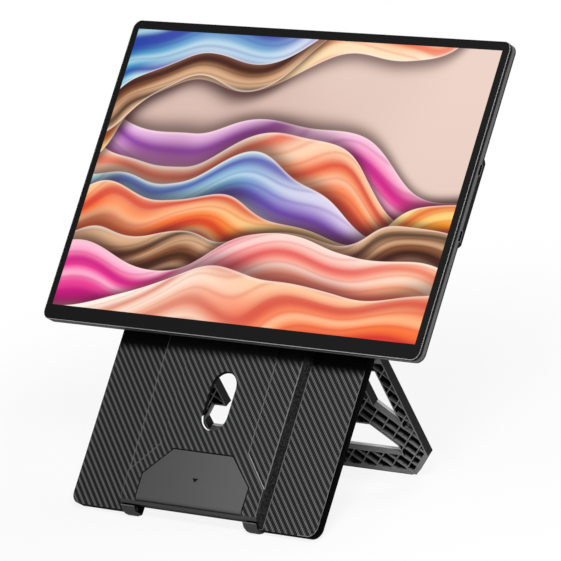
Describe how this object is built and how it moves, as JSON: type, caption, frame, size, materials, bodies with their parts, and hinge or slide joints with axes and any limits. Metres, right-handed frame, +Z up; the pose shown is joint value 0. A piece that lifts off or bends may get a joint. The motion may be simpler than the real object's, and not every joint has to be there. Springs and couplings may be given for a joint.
{
  "type": "portable monitor",
  "caption": "Thin portable monitor screwed to the raised channel of a leaning carbon-look stand with a folding truss leg, a fold-out ledge and rubber shoes.",
  "frame": {"origin": "on the table, under the middle of the object's bounding box", "axes": "+Z up, +X to the right across the screen as a viewer sees it, +Y from the screen to the back"},
  "size_m": [0.3574, 0.2148, 0.2999],
  "materials": {
    "frame_black": "gloss black with a bright polished bevel",
    "screen_glass": "clear gloss over a black printed border",
    "cell_glass": "dark, smooth",
    "diffuser": "milky, matt",
    "guide_acrylic": "clear, smooth",
    "lamp_strip": "matt",
    "reflector_white": "white, smooth",
    "tray_steel": "bare sheet",
    "cover_grey": "fine satin",
    "insert_brass": "bare",
    "board_green": "satin solder mask",
    "small_screw": "bare",
    "ribbon_amber": "smooth film",
    "speaker_black": "matt",
    "socket_steel": "bright drawn shell",
    "jack_black": "smooth",
    "key_black": "satin",
    "switch_tin": "bare",
    "plate_carbon": "carbon look twill under satin lacquer",
    "plate_back": "fine grain",
    "channel_carbon": "carbon look twill with smooth edges",
    "ledge_grey": "smooth satin",
    "rod_steel": "ground",
    "shoe_rubber": "matt",
    "leg_black": "fine satin",
    "bracket_black": "satin black",
    "pin_steel": "ground",
    "screw_black": "black oxide"
  },
  "bodies": {
    "stand": {"front_frame": "frame_black", "cover_glass": "screen_glass", "lcd_cell": "cell_glass", "diffuser_film": "diffuser", "light_guide": "guide_acrylic", "led_strip": "lamp_strip", "reflector_sheet": "reflector_white", "panel_tray": "tray_steel", "rear_cover": "cover_grey", "mount_inserts": "insert_brass", "main_board": "board_green", "board_screws": "small_screw", "driver_board": "board_green", "panel_ribbon": "ribbon_amber", "data_ribbon": "ribbon_amber", "key_ribbon": "ribbon_amber", "speaker_right": "speaker_black", "speaker_left": "speaker_black", "data_port_upper": "socket_steel", "data_port_lower": "socket_steel", "video_port": "socket_steel", "audio_jack": "jack_black", "data_board": "board_green", "key_board": "board_green", "key_switches": "switch_tin", "stand_plate": "plate_carbon", "stand_back": "plate_back", "channel_cover": "channel_carbon", "ledge_rod": "rod_steel", "shoe_right": "shoe_rubber", "shoe_left": "shoe_rubber", "hinge_bracket_right": "bracket_black", "hinge_bracket_left": "bracket_black", "hinge_pin_right": "pin_steel", "hinge_pin_left": "pin_steel", "bracket_screws": "screw_black", "channel_screws": "screw_black", "mount_screws": "screw_black"},
    "leg": {"leg_frame": "leg_black", "leg_pad": "shoe_rubber"},
    "ledge": {"ledge": "ledge_grey"},
    "power_key": {"power_key": "key_black"},
    "volume_rocker": {"volume_rocker": "key_black"}
  },
  "joints": [
    {"name": "leg_fold", "type": "hinge", "parent": "stand", "child": "leg", "pos_m": [0, -0.01152, 0.10675], "axis": [1, 0, 0], "range_deg": [-60.2, 0]},
    {"name": "ledge_fold", "type": "hinge", "parent": "stand", "child": "ledge", "pos_m": [0, -0.10252, 0.01472], "axis": [1, 0, 0], "range_deg": [0, 90]},
    {"name": "power_press", "type": "slide", "parent": "stand", "child": "power_key", "axis": [1, 0, 0], "range_m": [0, 0.0004], "stiffness_N_per_m": 2000},
    {"name": "volume_rock", "type": "hinge", "parent": "stand", "child": "volume_rocker", "pos_m": [-0.1764, 0.02849, 0.19917], "axis": [0, -0.7818, 0.6236], "range_deg": [-2.5, 2.5], "stiffness_Nm_per_rad": 0.18}
  ]
}
